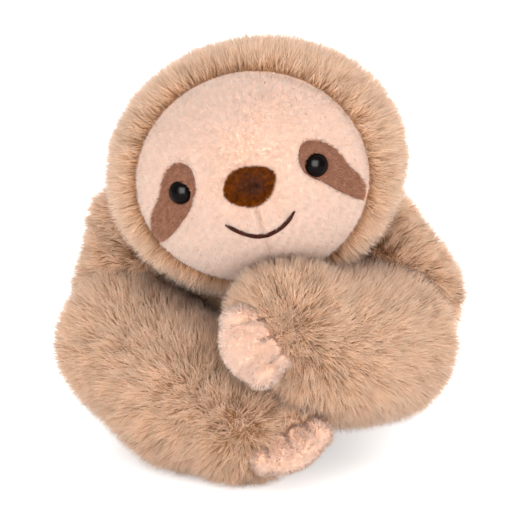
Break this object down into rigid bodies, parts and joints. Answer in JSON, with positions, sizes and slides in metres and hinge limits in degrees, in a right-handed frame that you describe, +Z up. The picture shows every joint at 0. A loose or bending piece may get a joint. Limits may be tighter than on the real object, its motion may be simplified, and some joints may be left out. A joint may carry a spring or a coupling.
{
  "type": "plush sloth",
  "caption": "Seated plush sloth in long beige pile with a peach face, dark eye patches and both arms folded in front.",
  "frame": {"origin": "middle of the flat seat under the torso", "axes": "+Z up, the sloth faces -Y, +X is the sloth's own left"},
  "size_m": [0.1938, 0.1764, 0.2076],
  "materials": {
    "fur": "long soft pile",
    "face_plush": "short peach pile",
    "patch_plush": "short brown pile",
    "nose_pile": "short dense pile",
    "thread": "embroidery thread",
    "eye_bead": "polished",
    "washer": "moulded",
    "filling": "polyester fibre",
    "pellet_cloth": "woven bag of pellets"
  },
  "bodies": {
    "torso": {"torso_cover": "fur", "torso_filling": "filling", "pellet_bag": "pellet_cloth"},
    "neck": {"neck_filling": "filling"},
    "head": {"head_hood": "fur", "face_panel": "face_plush", "eye_patch_left": "patch_plush", "eye_patch_right": "patch_plush", "eye_left": "eye_bead", "eye_right": "eye_bead", "eye_washer_left": "washer", "eye_washer_right": "washer", "nose": "nose_pile", "mouth_stitching": "thread", "head_filling": "filling"},
    "upper_arm_left": {"upper_arm_left_cover": "fur", "upper_arm_left_filling": "filling"},
    "forearm_left": {"forearm_left_cover": "fur", "forearm_left_filling": "filling", "paw_left_cover": "face_plush", "paw_left_filling": "filling"},
    "leg_left": {"leg_left_cover": "fur", "leg_left_filling": "filling", "foot_left": "face_plush"},
    "upper_arm_right": {"upper_arm_right_cover": "fur", "upper_arm_right_filling": "filling"},
    "forearm_right": {"forearm_right_cover": "fur", "forearm_right_filling": "filling", "paw_right_cover": "face_plush", "paw_right_filling": "filling"},
    "leg_right": {"leg_right_cover": "fur", "leg_right_filling": "filling", "foot_right": "face_plush"}
  },
  "joints": [
    {"name": "neck_turn", "type": "hinge", "parent": "torso", "child": "neck", "pos_m": [0.00603, -0.034, 0.09836], "axis": [0, 0, 1], "range_deg": [-12, 12]},
    {"name": "neck_nod", "type": "hinge", "parent": "neck", "child": "head", "pos_m": [0.00603, -0.034, 0.09836], "axis": [-1, 0, 0], "range_deg": [0, 6]},
    {"name": "shoulder_left", "type": "hinge", "parent": "torso", "child": "upper_arm_left", "pos_m": [0.059, -0.009, 0.102], "axis": [0, 0, 1], "range_deg": [0, 20]},
    {"name": "elbow_left", "type": "hinge", "parent": "upper_arm_left", "child": "forearm_left", "pos_m": [0.062, -0.052, 0.056], "axis": [0, 0, 1], "range_deg": [0, 30]},
    {"name": "hip_left", "type": "hinge", "parent": "torso", "child": "leg_left", "pos_m": [0.036, 0.017, 0.0215], "axis": [0, 0, 1], "range_deg": [0, 15]},
    {"name": "shoulder_right", "type": "hinge", "parent": "torso", "child": "upper_arm_right", "pos_m": [-0.061, -0.009, 0.103], "axis": [0, 0, -1], "range_deg": [0, 20]},
    {"name": "elbow_right", "type": "hinge", "parent": "upper_arm_right", "child": "forearm_right", "pos_m": [-0.064, -0.047, 0.054], "axis": [0, 0, -1], "range_deg": [0, 30]},
    {"name": "hip_right", "type": "hinge", "parent": "torso", "child": "leg_right", "pos_m": [-0.036, 0.017, 0.0215], "axis": [0, 0, -1], "range_deg": [0, 15]}
  ]
}
